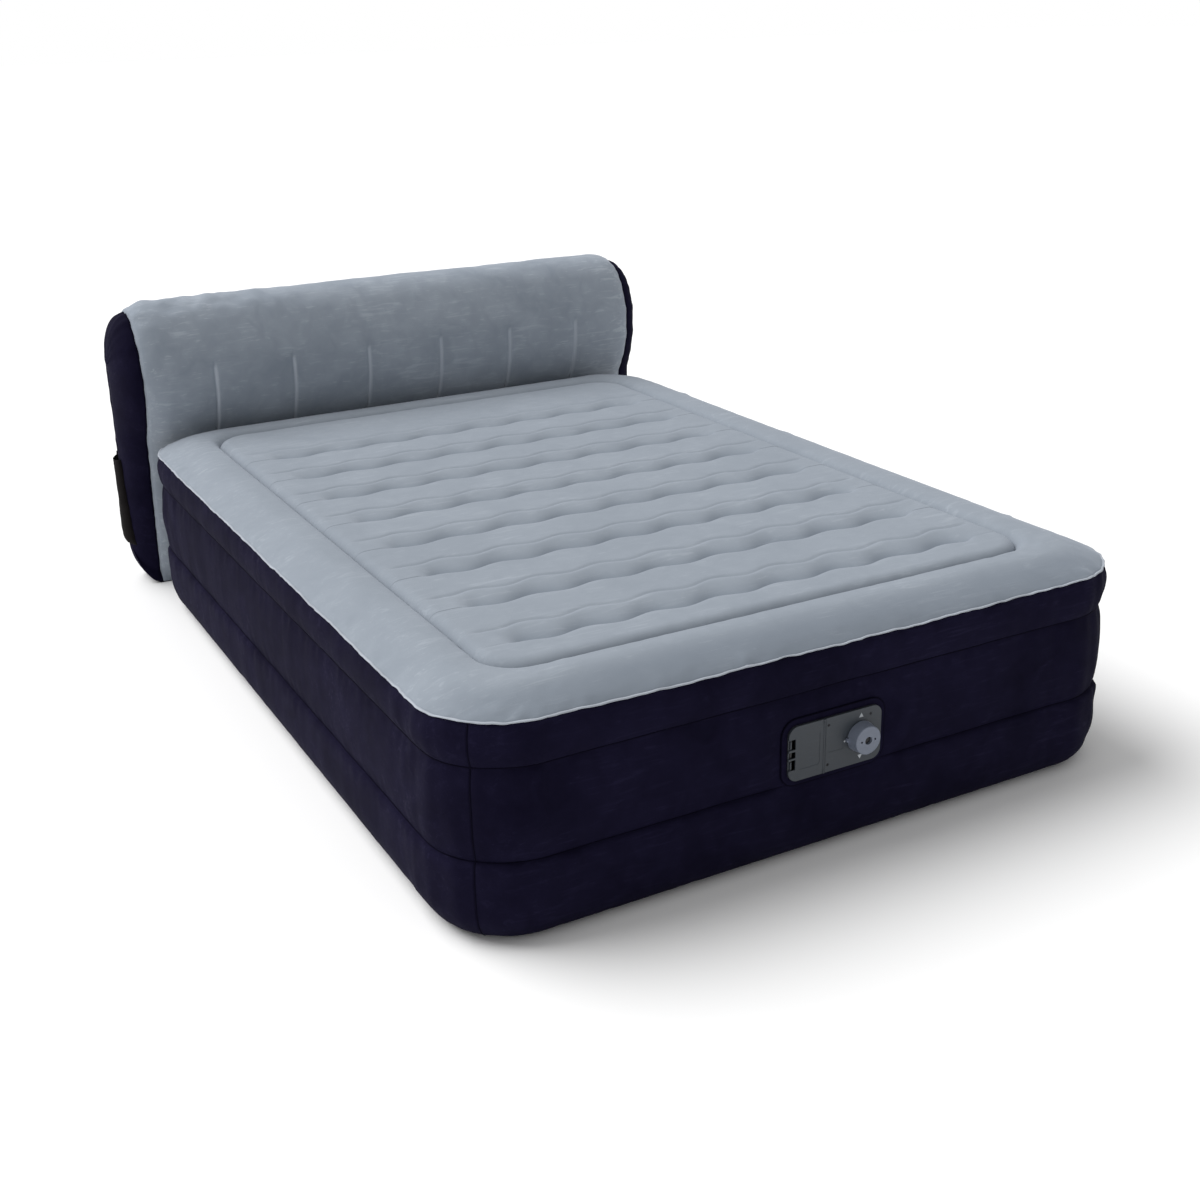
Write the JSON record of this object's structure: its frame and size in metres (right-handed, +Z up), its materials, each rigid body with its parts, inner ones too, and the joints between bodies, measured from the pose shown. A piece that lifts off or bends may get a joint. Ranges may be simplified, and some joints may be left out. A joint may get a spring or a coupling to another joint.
{
  "type": "air mattress",
  "caption": "Raised flocked airbed with quilted top, three-tier sides, inflated headboard with side pockets, and a built-in mains pump with cord door and selector knob.",
  "frame": {"origin": "on the floor, at the centre of the footprint of the whole object", "axes": "+X to the right of someone who looks from the foot, +Y towards the headboard, +Z up"},
  "size_m": [1.616, 2.4098, 0.8],
  "materials": {
    "grey_flock": "flocked vinyl, velvety",
    "navy_flock": "flocked vinyl, velvety",
    "floor_vinyl": "matt vinyl",
    "inner_film": "plain vinyl film",
    "pocket_cloth": "woven polyester",
    "plate_plastic": "fine moulded texture",
    "knob_plastic": "satin moulded",
    "soft_rubber": "soft black",
    "housing_plastic": "moulded",
    "steel": "zinc plated",
    "brass": "turned"
  },
  "bodies": {
    "airbed": {"top_sheet": "grey_flock", "bottom_sheet": "floor_vinyl", "foot_wall": "navy_flock", "head_wall": "navy_flock", "left_wall": "navy_flock", "right_wall": "navy_flock", "rim_beam": "inner_film", "upper_girdle": "inner_film", "lower_girdle": "inner_film", "wave_beams": "inner_film", "headboard_front_panel": "grey_flock", "headboard_back_panel": "navy_flock", "headboard_end_left": "navy_flock", "headboard_end_right": "navy_flock", "headboard_ties": "inner_film", "join_strip": "floor_vinyl", "air_transfer_tube": "inner_film", "pocket_left": "pocket_cloth", "pocket_right": "pocket_cloth", "pump_flange": "navy_flock", "faceplate_gasket": "soft_rubber", "pump_housing": "housing_plastic", "faceplate": "plate_plastic", "cord_tray": "housing_plastic", "cord_gland": "soft_rubber", "door_hinge_pin": "steel", "faceplate_screws": "steel", "diverter_sleeve": "housing_plastic", "scroll_case": "housing_plastic", "scroll_cover": "housing_plastic", "motor_can": "steel", "motor_bushes": "brass", "valve_seat": "soft_rubber", "valve_cage": "housing_plastic", "valve_spring": "steel", "switch_body": "housing_plastic"},
    "knob": {"control_knob": "knob_plastic", "knob_cap": "housing_plastic", "knob_spindle": "knob_plastic", "diverter_drum": "housing_plastic"},
    "door": {"cord_door": "plate_plastic"},
    "rotor": {"impeller": "knob_plastic", "motor_shaft": "steel", "motor_rotor": "steel"},
    "valve": {"valve_disc": "soft_rubber"},
    "button": {"switch_button": "knob_plastic"}
  },
  "joints": [
    {"name": "knob_turn", "type": "hinge", "parent": "airbed", "child": "knob", "pos_m": [0.058, -1.1801, 0.23], "axis": [0, 1, 0], "range_deg": [-90, 90]},
    {"name": "cord_door_swing", "type": "hinge", "parent": "airbed", "child": "door", "pos_m": [-0.026, -1.1791, 0.23], "axis": [0, 0, 1], "range_deg": [0, 110]},
    {"name": "impeller_spin", "type": "hinge", "parent": "airbed", "child": "rotor", "pos_m": [-0.045, -1.1801, 0.23], "axis": [0, 1, 0], "continuous": true},
    {"name": "valve_lift", "type": "slide", "parent": "airbed", "child": "valve", "axis": [0, 1, 0], "range_m": [0, 0.006], "stiffness_N_per_m": 60, "springref_m": -0.004, "deforming": ["valve_spring"]},
    {"name": "switch_press", "type": "slide", "parent": "airbed", "child": "button", "axis": [1, 0, 0], "range_m": [0, 0.0012], "stiffness_N_per_m": 300, "springref_m": -0.001}
  ]
}
